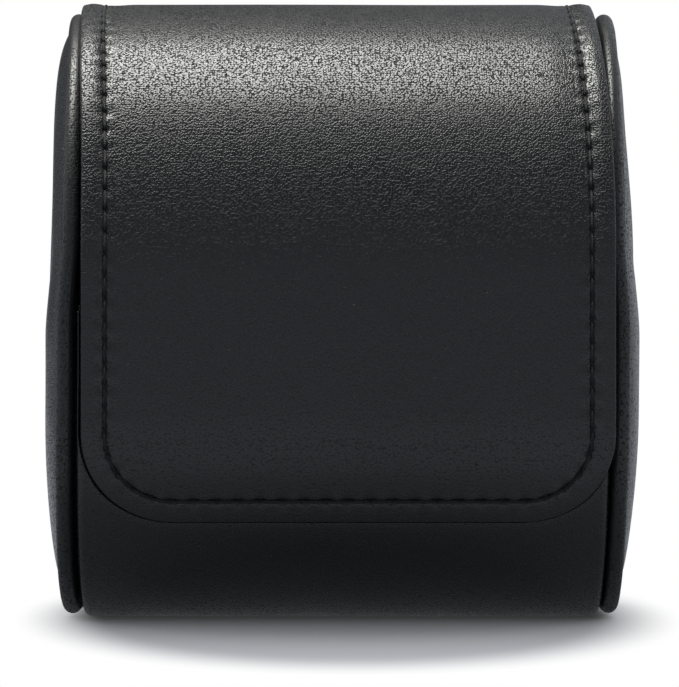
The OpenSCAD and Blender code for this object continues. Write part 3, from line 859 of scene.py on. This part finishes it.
def end_panel_points(slack):
    """Rows go round the outline, columns from the turned edge inward. x is the
    board's face, plus the rise, minus the lean, and never under the board.
    slack is how much flatter the foam is at the upper front. It is 0.5 mm
    flatter near the floor."""
    rim_path = outline(rim_out + seam_out)
    s = np.linspace(0, rim_path[1], 721)[:-1, None]
    share = np.concatenate([np.zeros(29), runs(0.0, 18, 1.0)])[None]
    inset = np.concatenate([[0.8 * mm, 0], runs(0.0, 16, 5 * mm, 10, 14 * mm),
                            np.full(19, 14 * mm)])[None]
    y, z, _ = along(rim_path, s, -inset)
    y, z = y * (1 - share), z * (1 - share) + panel_middle_z * share
    deep = inset + 26 * mm * share
    gathers = 0.07 * mm * waves(s, deep, 6 * mm, 11) * bump(deep, 1.6 * mm, 1.8 * mm)
    uneven = 0.1 * mm * waves(y, z, 30 * mm, 12) * smooth(deep, 2 * mm, 10 * mm)
    lower = (lean(signed(s, rim_path[1])) * (1.15 - smooth(y, -26 * mm, 24 * mm))
             * (1 - smooth(share, 0.3, 1.0)))
    flatter = (slack * smooth(z, 58 * mm, 84 * mm) * (1 - smooth(y, -20 * mm, 30 * mm))
               + 0.5 * mm * (1 - smooth(z, 10 * mm, 34 * mm)))
    h = dome_rise(deep) - lower - flatter + gathers + uneven
    least = 0.06 * mm
    h = least + 0.5 * (h - least + np.sqrt((h - least) ** 2 + (0.25 * mm) ** 2))
    h[:, 0], h[:, 1] = -1.4 * mm, -1.4 * mm
    return np.stack([end_x + h, y, z], axis=-1)


def foam_under(points):
    """The foam block: the cover's form 0.6 mm further in, down to the board."""
    side = np.sign(points[0, 0, 0])
    keep = points[:, 6:] if side > 0 else points[:, :-6]
    high = np.maximum(np.abs(keep[..., 0]) - 0.6 * mm, end_x + 0.05 * mm)
    block = np.stack([side * high, keep[..., 1], keep[..., 2]], axis=-1)
    base = (block[:, :1] if side > 0 else block[:, -1:]).copy()
    base[..., 0] = side * end_x
    return np.concatenate([base, block] if side > 0 else [block, base], axis=1)


def swayed(points):
    """A grid of points with the sag of the lower front added."""
    return points + np.stack([sway(points[..., 1], points[..., 2])] + 2 * [0 * points[..., 0]], -1)


for side, points in (("right", end_panel_points(0.75 * mm)),
                     ("left", mirrored(end_panel_points(-0.15 * mm)))):
    points = swayed(points)
    cover = piece_from_grid(f"{side}_end_panel", points, wrap_rows=True, weld=True)
    place(cover, panel_leather, "case", "black_leather", f"{side}_end_leather")
    block = piece_from_grid(f"{side}_end_foam", foam_under(points), wrap_rows=True, weld=True)
    place(block, foam, "case", "foam", f"{side}_end_padding")

# %% [markdown]
# ## Piping
# Piping is a strip of leather folded round a cord and sewn between the wrap
# and the end panel. The round part shows; behind it the two layers of the
# strip run into the seam. The cord follows the same lean, so it is made here
# as well, as a twist of cotton inside the tube.

# %% Piping and its cord
tube_r = piping_r + 0.15 * mm
tube_x = piping_x - 0.15 * mm


def piping_points():
    """A closed keyhole profile, three quarters of a circle and a thin flange
    that runs in between wrap and end board, carried round the seam line, with
    a slightly uneven radius. Only the round part leans."""
    path = outline(seam_out - 0.25 * mm)
    s = np.linspace(0, path[1], 1100, endpoint=False)[:, None]
    a = np.radians(np.linspace(-118, 208, 26))[None]
    r = tube_r * (1 + 0.012 * waves(s, a * 0.002, 7 * mm, 21))
    stem_offset = np.tile([[-0.9, -5.2, -5.2, -1.6]], (len(s), 1)) * mm
    stem_out = np.tile([[-1.9, -1.9, -1.5, -1.5]], (len(s), 1)) * mm
    offset = np.hstack([r * np.sin(a), stem_offset])
    out = np.hstack([r * np.cos(a), stem_out])
    y, z, _ = along(path, s, offset)
    held = np.arange(out.shape[1]) >= a.shape[1]
    leaned = tube_x + out - np.where(held, 0, lean(signed(s, path[1])))
    return np.stack([leaned, y, z], axis=-1)


def cord_points():
    """A circle carried round the same line, with three strands that twist
    once every 3 mm: r (1 + 0.08 cos(3 a - 2 pi s / pitch))."""
    path = outline(seam_out - 0.25 * mm)
    s = np.linspace(0, path[1], 800, endpoint=False)[:, None]
    a = np.linspace(0, 2 * np.pi, 18, endpoint=False)[None]
    r = cord_r * (0.92 + 0.08 * np.cos(3 * a - 2 * np.pi * s / (3 * mm)))
    y, z, _ = along(path, s, r * np.sin(a))
    return np.stack([tube_x - lean(signed(s, path[1])) + r * np.cos(a), y, z], axis=-1)


edging, twist = piping_points(), cord_points()
for side in ("right", "left"):
    for name, points, material, slot, packed in (
            ("edge_piping", edging, piping_leather, "black_leather", "piping"),
            ("cotton_cord", twist, cord_cotton, "piping_cord", "piping_cord")):
        points = swayed(points if side == "right" else mirrored(points))
        ring = piece_from_grid(f"{side}_{name}", points, wrap_rows=True, wrap_columns=True,
                               weld=True)
        place(ring, material, "case", slot, f"{side}_{packed}")

# %% [markdown]
# ## Lining
# The lining is glued to the inside of the wrap, from the lip round to the
# hinge, and to the inside of the flap. The end panels have their own padded
# lining, which is a little thicker in the middle.

# %% Lining of shell, ends and flap
def sheet_points(path, x, s, inner, outer):
    """A thin closed sheet: its face at the offset inner, then the one at
    outer, as one loop of columns for each row along s."""
    faces = []
    for offset in (inner, outer):
        y, z, _ = along(path, s, offset + 0 * x)
        faces.append(np.stack([x, y, z], axis=-1))
    return np.concatenate([faces[0], faces[1][:, ::-1]], axis=1)


lining_w = box_of("right_end_lining")[0][0] - 0.1 * mm
s = runs(shell_lip_s + 3.5 * mm, 160, shell_hinge_s - 2.5 * mm)
x = runs(-lining_w, 3, -lining_w + 1 * mm, 30, lining_w - 1 * mm, 3, lining_w)
shell_face = lining_in + 0.02 * mm
shell_lining = piece_from_grid("shell_lining", sheet_points(
    shell_path, np.tile(x, (len(s), 1)), s[:, None], shell_face, shell_face + 0.4 * mm),
    wrap_columns=True)
place(shell_lining, lining_suede, "case", "grey_lining", "body_lining")


def flap_sheet(start, edge, rows, columns):
    """Rows along the flap from start, and each row's places across, edge
    further in than the skin: the half width drops along a quarter circle at
    the free end, and follows the flap's askew cut."""
    s = runs(start, rows, flap_end - edge)
    corner = flap_corner_r - edge
    turned_off = 1 - np.sqrt(1 - np.clip(1 - (s[-1] - s) / corner, 0, 1) ** 2)
    half = flap_half_w - edge - corner * turned_off
    return s[:, None], half[:, None] * runs(-1, columns, 1)[None] + flap_shift(s)[:, None]


s, wide = flap_sheet(hinge_s + 5 * mm, 2 * mm, 160, 30)
for name, material, slot, low, high in (
        ("padding", foam, "foam", 1.05 * mm, 1.85 * mm),
        ("board", grey_board, "grey_board", 1.9 * mm, 2.55 * mm)):
    slab = piece_from_grid(f"flap_inner_{name}", sheet_points(flap_path, wide, s, -high, -low),
                           wrap_columns=True)
    place(slab, material, "flap", slot, f"flap_{name}")

s, wide = flap_sheet(hinge_s + 0.2 * mm, 5.2 * mm, 240, 130)
flap_face = flap_in - flap_out
y_mid, z_mid, _ = along(flap_path, s, flap_face + 0 * wide)
from_snap = np.where(y_mid < -30 * mm, np.hypot(wide, z_mid - snap_z), 1.0)
sunk = 0.45 * mm * (1 - smooth(from_snap, 5.6 * mm, 6.7 * mm))
flap_lining = piece_from_grid("flap_inner_lining", sheet_points(
    flap_path, wide, s, flap_face - 0.05 * mm + sunk, flap_face + 0.5 * mm), wrap_columns=True)
bend(flap_lining, lining_suede, "grey_lining", "flap_lining")

end_lining_low, end_lining_high = box_of("right_end_lining")


def end_lining_points():
    """Rings from the back, round the edge and in to a slightly crowned face."""
    path = outline(lining_in - 0.2 * mm)
    s = np.linspace(0, path[1], 360, endpoint=False)[:, None]
    inset = np.array([3, 0.2, 0, 0, 0.15, 0.6, 1.5, 3, 6, 10, 14, 18, 22, 25]) * mm
    crown = 0.5 * mm
    face = end_lining_low[0]
    x = np.concatenate([[end_lining_high[0]] * 3,
                        [face + 0.7 * mm, face + 0.3 * mm, face + 0.05 * mm],
                        face - crown * smooth(inset[6:], 0, 14 * mm)])
    y, z, _ = along(path, s, -inset[None])
    shares = runs(0.3, 2, 1.0)
    y = np.hstack([y, y[:, -1:] * (1 - shares)])
    z = np.hstack([z, z[:, -1:] * (1 - shares) + panel_middle_z * shares])
    x = np.concatenate([x, np.full(3, x[-1])])
    return np.stack([np.broadcast_to(x, y.shape), y, z], axis=-1)


inner = end_lining_points()
for side, points in (("right", inner), ("left", mirrored(inner))):
    cloth = piece_from_grid(f"{side}_end_inner_lining", points, wrap_rows=True, weld=True)
    place(cloth, lining_suede, "case", "grey_lining", f"{side}_end_lining")

# %% [markdown]
# ## The snap
# A hidden magnetic snap holds the flap: a flat socket in the front wall and a
# short stud on the flap. Both are turned parts, so a profile swept round the
# snap's axis makes them, with rounded rims that catch the light.

# %% Turned parts of the snap
def turned_part(name, profile, face_y):
    """Sweeps (radius, depth) points round the axis along Y through the snap's
    centre. depth runs inward from face_y."""
    profile = np.array(profile) * mm
    a = np.linspace(0, 2 * np.pi, 96, endpoint=False)[:, None]
    r, depth = profile[None, :, 0], profile[None, :, 1]
    points = np.stack([r * np.cos(a), face_y + depth + 0 * a, snap_z + r * np.sin(a)], axis=-1)
    return piece_from_grid(name, points, wrap_rows=True, weld=True)


socket_profile = [(3.2, 1.9), (3.2, 0.5), (3.22, 0.22), (3.35, 0.06), (3.6, 0.0), (3.95, 0.0),
                  (4.2, 0.12), (4.5, 0.16), (6.2, 0.14), (6.6, 0.02), (6.8, 0.06), (6.95, 0.22),
                  (7.0, 0.5), (7.0, 1.9), (5.0, 1.95), (3.2, 1.9)]
socket = turned_part("snap_socket", socket_profile, snap_low[1] - 0.12 * mm)
place(socket, dark_nickel, "case", "dark_nickel", "clasp_socket")
stud_low = box_of("clasp_stud")[0]
stud_profile = [(0.0, 1.6), (1.2, 1.6), (1.5, 1.52), (1.66, 1.36), (1.7, 1.15), (1.7, 0.95),
                (1.78, 0.95), (1.95, 0.92), (6.6, 0.92), (6.85, 0.85), (6.97, 0.72), (7.0, 0.5),
                (7.0, 0.02), (0.0, 0.02)]
stud = turned_part("snap_stud", stud_profile, stud_low[1])
place(stud, dark_nickel, "flap", "dark_nickel", "clasp_stud")

# %% [markdown]
# ## The cushion
# The watch is strapped round a foam roll in a suede sleeve with an oval cap at
# each end. The bare form would look like plastic, because real cloth is cut a
# little larger than its foam and buckles between its seams. So the form starts
# slightly small, and a cloth simulation blows it up while its two end seams are
# held. The welts are sewn on afterwards, where the seams were held.

# %% The cushion's form
cover_low, cover_high = box_of("cushion_cover")
cushion_r = (cover_high[1] - cover_low[1]) / 2
cushion_z = (cover_high[2] + cover_low[2]) / 2
cushion_side = (cover_high[2] - cover_low[2]) / 2 - cushion_r
seam_x = cover_high[0]
cap_bulge = box_of("cushion_right_cap")[1][0] - seam_x
drawn_in = cushion_r - box_of("cushion_right_cap")[1][1]


def cushion_section(turn, shrink):
    """A tall round: half circles of radius r - shrink over straight sides."""
    r = cushion_r - shrink
    return r * np.cos(turn), cushion_z + r * np.sin(turn) + cushion_side * np.tanh(8 * np.sin(turn))


def cushion_form(thinner):
    """Sections from one end to the other: a cap whose radius shrinks with the
    cosine of an angle b, the sleeve, and the other cap. The sleeve is drawn in
    towards the seams with the sixth power of x."""
    b = np.linspace(-np.pi / 2, 0, 9)[:-1]
    sleeve_x = runs(-seam_x, 44, seam_x)
    cap_x = -seam_x + (0.8 * cap_bulge - thinner) * np.sin(b)
    x = np.concatenate([cap_x, sleeve_x, -cap_x[::-1]])[:, None]
    part = np.concatenate([np.cos(b), np.ones(len(sleeve_x)), np.cos(b[::-1])])[:, None]
    shrink = thinner + (drawn_in - thinner) * np.minimum(np.abs(x / seam_x), 1) ** 6
    y, z = cushion_section(np.linspace(0, 2 * np.pi, 120, endpoint=False)[None], shrink)
    return np.stack([x + 0 * y, y * part, cushion_z + (z - cushion_z) * part], axis=-1)


def corners_of(mesh):
    """The vertex positions of a mesh as an array."""
    values = np.empty(len(mesh.vertices) * 3, np.float32)
    mesh.vertices.foreach_get("co", values)
    return values.reshape(-1, 3).astype(float)


def live_mesh(piece):
    """A copy of a piece's mesh with its modifiers carried out."""
    view = bpy.context.evaluated_depsgraph_get()
    return bpy.data.meshes.new_from_object(piece.evaluated_get(view))


def blown_up(piece, held, voxel=2.4 * mm, pressure=6.0, slack=0.05, most=2.2 * mm):
    """Remeshes a piece evenly and lets it swell as cloth for 20 frames. held
    says which points stay, slack how much larger the cloth is than the form,
    and most caps every point's way. It works at ten times the size, where the
    solver's defaults suit."""
    size = 10.0
    piece.data.vertices.foreach_set("co", (corners_of(piece.data) * size).ravel())
    even = piece.modifiers.new("even", "REMESH")
    even.mode, even.voxel_size = "VOXEL", voxel * size
    piece.data = live_mesh(piece)
    piece.modifiers.clear()
    start = corners_of(piece.data)
    sewn_group = piece.vertex_groups.new(name="sewn")
    sewn_group.add(np.flatnonzero(held(start / size)).tolist(), 1.0, "REPLACE")
    cloth = piece.modifiers.new("cloth", "CLOTH").settings
    cloth.use_pressure, cloth.uniform_pressure_force = True, pressure
    cloth.effector_weights.gravity = 0.0
    cloth.vertex_group_mass, cloth.shrink_min = "sewn", -slack
    cloth.quality, cloth.mass, cloth.bending_stiffness = 6, 0.15, 0.05
    for step in range(1, 21):
        bpy.context.scene.frame_set(step)
    way = (corners_of(live_mesh(piece)) - start) / size
    length = np.linalg.norm(way, axis=1)[:, None]
    way *= np.minimum(1, most / np.maximum(length, 1e-9))
    piece.modifiers.clear()
    piece.vertex_groups.clear()
    piece.data.vertices.foreach_set("co", (start / size + way).ravel())
    bpy.context.scene.frame_set(1)
    print(f"{piece.name}: swelled by up to {length.max() / mm:.1f} mm, kept under {most / mm} mm")


# %% Blow it up and sew the welts
cushion = piece_from_grid("cushion_sleeve", cushion_form(0.9 * mm), wrap_columns=True, weld=True)
blown_up(cushion, lambda at: np.abs(np.abs(at[:, 0]) - seam_x) < 1.4 * mm)
finer = cushion.modifiers.new("finer", "SUBSURF")
finer.levels = finer.render_levels = 1
cushion.data.polygons.foreach_set("use_smooth", np.ones(len(cushion.data.polygons), bool))
place(cushion, cushion_suede, "cushion", "cushion_cloth", "cushion_cover", "cushion_left_cap",
      "cushion_right_cap")

core = piece_from_grid("cushion_foam", cushion_form(3.5 * mm), wrap_columns=True, weld=True)
place(core, foam, "cushion", "foam", "cushion_core")

around = np.linspace(0, 2 * np.pi, 200, endpoint=False)[:, None]
b = np.linspace(0, 2 * np.pi, 14, endpoint=False)[None]
welt_r = 0.8 * mm
y, z = cushion_section(around, drawn_in + 0.1 * mm - welt_r * np.cos(b))
welt = np.stack([seam_x + welt_r * np.sin(b) + 0 * y, y, z], axis=-1)
for side, points in (("right", welt), ("left", mirrored(welt))):
    ring = piece_from_grid(f"cushion_{side}_welt", points, wrap_rows=True, wrap_columns=True,
                           weld=True)
    place(ring, cushion_suede, "cushion", "cushion_cloth")

# %% [markdown]
# ## Floor, light and camera
# The photo is a product shot on white: one large soft light above the front
# gives the broad sheen on the curve of the flap, and the front itself sees
# little light and stays near black. White comes from what the camera sees of
# floor and world, not from more light. Reflections see a dimmer room than the
# camera does, which keeps the leather near black, so metal doesn't show the
# white background.

# %% Floor
floor_glow_in_shadow = 0.03
shadow_half_x, shadow_half_y = 0.0495, 0.133
floor_half = 3.0
cool = (0.94, 0.985, 1.06, 1)


def cooled(tree, by_camera):
    """White for camera rays and the cool tint for all others."""
    return add(tree, "ShaderNodeMix", {"Factor": by_camera, "A": cool, "B": (1, 1, 1, 1)},
               data_type="RGBA").outputs["Result"]


floor = bpy.data.objects.new("floor", bpy.data.meshes.new("floor"))
bpy.context.scene.collection.objects.link(floor)
floor.data.from_pydata([(-floor_half, -floor_half, 0), (floor_half, -floor_half, 0),
                        (floor_half, floor_half, 0), (-floor_half, floor_half, 0)],
                       [], [(0, 1, 2, 3)])
floor_material, tree, ground = shader("pale floor", Roughness=0.9, Specular_IOR_Level=0.0,
                                      Base_Color=(0.765, 0.755, 0.75, 1.0))
floor.data.materials.append(floor_material)

where = add(tree, "ShaderNodeTexCoord")
spread = add(tree, "ShaderNodeVectorMath", {0: where.outputs["Object"],
             1: (1 / shadow_half_x, 1 / shadow_half_y, 0), 2: (-0.02, 0, 0)}, operation="MULTIPLY_ADD")
near = add(tree, "ShaderNodeVectorMath", {0: spread.outputs[0]}, operation="LENGTH")
# painted light: inside an ellipse round the case the camera sees the lit floor with a little white
# glow added over its shadow, and outside the ellipse it sees plain white
fade = ramp(tree, near.outputs["Value"], 0.8, 1.1, floor_glow_in_shadow, 1.0,
            interpolation_type="SMOOTHSTEP")
ray = add(tree, "ShaderNodeLightPath").outputs
seen = maths(tree, "MULTIPLY", fade, ray["Is Camera Ray"])
bounced = maths(tree, "MAXIMUM", ray["Is Glossy Ray"], ray["Is Transmission Ray"])
part = maths(tree, "MAXIMUM", seen, bounced)
wider = add(tree, "ShaderNodeVectorMath", {0: spread.outputs[0], 1: (0.35, 1, 0)},
            operation="MULTIPLY")
far = add(tree, "ShaderNodeVectorMath", {0: wider.outputs[0]}, operation="LENGTH")
# painted reflection and painted shadow: glossy and transmission rays see the floor as a cool grey
# glow, 0.12 near the case and up to 0.56 further out, in place of its lit surface
reflected_floor_light_and_shade = ramp(tree, far.outputs["Value"], 0.3, 0.8, 0.12, 0.56)
strength = maths(tree, "MAXIMUM", reflected_floor_light_and_shade, ray["Is Camera Ray"])
glow = add(tree, "ShaderNodeEmission",
           {"Color": cooled(tree, ray["Is Camera Ray"]), "Strength": strength})
mixed = add(tree, "ShaderNodeMixShader", {"Fac": part, 1: ground.outputs[0], 2: glow.outputs[0]})
tree.links.new(mixed.outputs[0], tree.nodes["Material Output"].inputs["Surface"])

# %% World
world = bpy.data.worlds.new("studio")
bpy.context.scene.world = world
world.use_nodes = True
tree = world.node_tree
direction = add(tree, "ShaderNodeTexCoord")
split = add(tree, "ShaderNodeSeparateXYZ", {0: direction.outputs["Generated"]})
X, Y, Z = (split.outputs[axis] for axis in "XYZ")
front_glow = ramp(tree, Z, 0.1, 0.6, 0.36, 0.22)
back_glow = ramp(tree, X, 0.0, 0.3, 0.08, 0.6)
behind = ramp(tree, Y, 0.0, 0.3)
shine = add(tree, "ShaderNodeMix", {"Factor": behind, "A": front_glow, "B": back_glow},
            data_type="FLOAT").outputs["Result"]
sideways = ramp(tree, maths(tree, "ABSOLUTE", X, 0.0), 0.55, 0.8)
upward = ramp(tree, Z, -0.15, 0.3)
side_glow = maths(tree, "MULTIPLY", sideways, upward)
shine = maths(tree, "MAXIMUM", shine, side_glow)
backdrop = ramp(tree, Y, 0.985, 0.995)
shine = maths(tree, "MAXIMUM", shine, backdrop)
fill = ramp(tree, Y, -0.1, 0.7, 0.25, 1.8, interpolation_type="SMOOTHSTEP")
ray = add(tree, "ShaderNodeLightPath").outputs
level = add(tree, "ShaderNodeMix", {"Factor": ray["Is Diffuse Ray"], "A": shine, "B": fill},
            data_type="FLOAT")
level = add(tree, "ShaderNodeMix", {"Factor": ray["Is Camera Ray"],
            "A": level.outputs["Result"], "B": 1.0}, data_type="FLOAT")
plain = tree.nodes["Background"]
tree.links.new(cooled(tree, ray["Is Camera Ray"]), plain.inputs["Color"])
tree.links.new(level.outputs["Result"], plain.inputs["Strength"])


# %% Lights
def soft_light(name, position, width, depth, power):
    """A rectangular lamp that looks straight down."""
    lamp = bpy.data.lights.new(name, "AREA")
    lamp.shape, lamp.size, lamp.size_y, lamp.energy = "RECTANGLE", width, depth, power
    light = bpy.data.objects.new(name, lamp)
    light.location = position
    bpy.context.scene.collection.objects.link(light)
    return light


sheen = soft_light("top softbox", (-0.15, 0.05, 0.66), 0.45, 0.37, 7.1)
sheen.data.color = (1.0, 1.0, 0.955)
sheen.visible_diffuse = False

# %% Camera
camera_data = bpy.data.cameras.new("camera")
camera = bpy.data.objects.new("camera", camera_data)
bpy.context.scene.collection.objects.link(camera)
bpy.context.scene.camera = camera
photo_w, photo_h = 679, 687
focal_px = 4550
camera_data.sensor_width = 36.0
camera_data.lens = focal_px / max(photo_w, photo_h) * camera_data.sensor_width
camera_data.clip_start, camera_data.clip_end = 0.05, 20
look_at = Vector((-0.3 * mm, 0, 43.9 * mm))
distance, azimuth, elevation = 0.745, np.radians(-0.44), np.radians(0.0)
away = Vector((np.sin(azimuth) * np.cos(elevation), -np.cos(azimuth) * np.cos(elevation),
               np.sin(elevation)))
camera.location = look_at + distance * away
camera.rotation_euler = away.to_track_quat("Z", "Y").to_euler()
bpy.context.scene.view_settings.view_transform = "Standard"
print("camera at", [round(v, 4) for v in camera.location])
